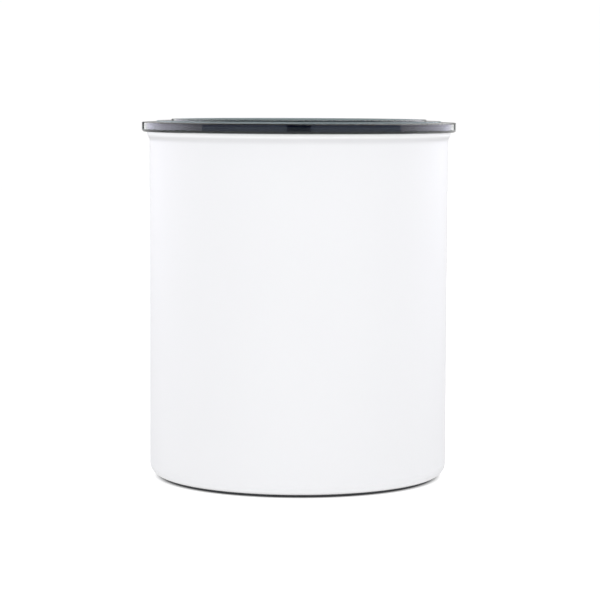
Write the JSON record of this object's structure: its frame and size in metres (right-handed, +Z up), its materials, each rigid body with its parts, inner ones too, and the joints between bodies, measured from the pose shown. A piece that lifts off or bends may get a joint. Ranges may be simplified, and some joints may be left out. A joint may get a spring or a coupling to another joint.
{
  "type": "coffee canister with valve",
  "caption": "White steel coffee canister with a smoke overcap and a push-down inner lid whose folding bail handle opens and shuts a two-way air valve.",
  "frame": {"origin": "centre of the base, on the surface that the canister stands on", "axes": "+Z up through the canister and its lid, front towards -Y, where the folded handle's grip lies"},
  "size_m": [0.1778, 0.1778, 0.2032],
  "materials": {
    "white_steel": "smooth satin white powder coat",
    "base_rubber": "matte black",
    "smoke_plastic": "polished smoke grey, see-through",
    "seal_silicone": "milky silicone",
    "gasket_silicone": "dark grey silicone",
    "lid_plastic": "fine-textured charcoal",
    "housing_plastic": "satin dark grey",
    "handle_plastic": "satin black",
    "bright_steel": "plain stainless"
  },
  "bodies": {
    "canister": {"canister_shell": "white_steel", "base_pad": "base_rubber"},
    "outer_lid": {"outer_lid": "smoke_plastic", "outer_lid_seal": "gasket_silicone"},
    "inner_lid": {"inner_lid_plate": "lid_plastic", "gasket_retainer": "lid_plastic", "wiper_gasket": "gasket_silicone", "valve_housing": "housing_plastic", "housing_o_ring": "gasket_silicone", "housing_screw_1": "bright_steel", "housing_screw_2": "bright_steel", "housing_screw_3": "bright_steel", "housing_screw_4": "bright_steel", "valve_screen": "bright_steel", "valve_spring": "bright_steel", "handle_pin_left": "bright_steel", "handle_pin_right": "bright_steel"},
    "handle": {"handle": "handle_plastic"},
    "valve": {"valve_plunger": "housing_plastic", "valve_seal": "seal_silicone", "stem_clip": "bright_steel"}
  },
  "joints": [
    {"name": "outer_lid_lift", "type": "slide", "parent": "canister", "child": "outer_lid", "axis": [0, 0, 1], "range_m": [0, 0.1]},
    {"name": "inner_lid_press", "type": "slide", "parent": "canister", "child": "inner_lid", "axis": [0, 0, 1], "range_m": [-0.11815, 0]},
    {"name": "handle_fold", "type": "hinge", "parent": "inner_lid", "child": "handle", "pos_m": [0, 0, 0.14565], "axis": [-1, 0, 0], "range_deg": [0, 90]},
    {"name": "valve_lift", "type": "slide", "parent": "inner_lid", "child": "valve", "axis": [0, 0, 1], "range_m": [0, 0.0028], "deforming": ["valve_spring"]}
  ],
  "couplings": [
    {"joint": "valve_lift", "follows": "handle_fold", "m_per_rad": 0.0017825}
  ]
}
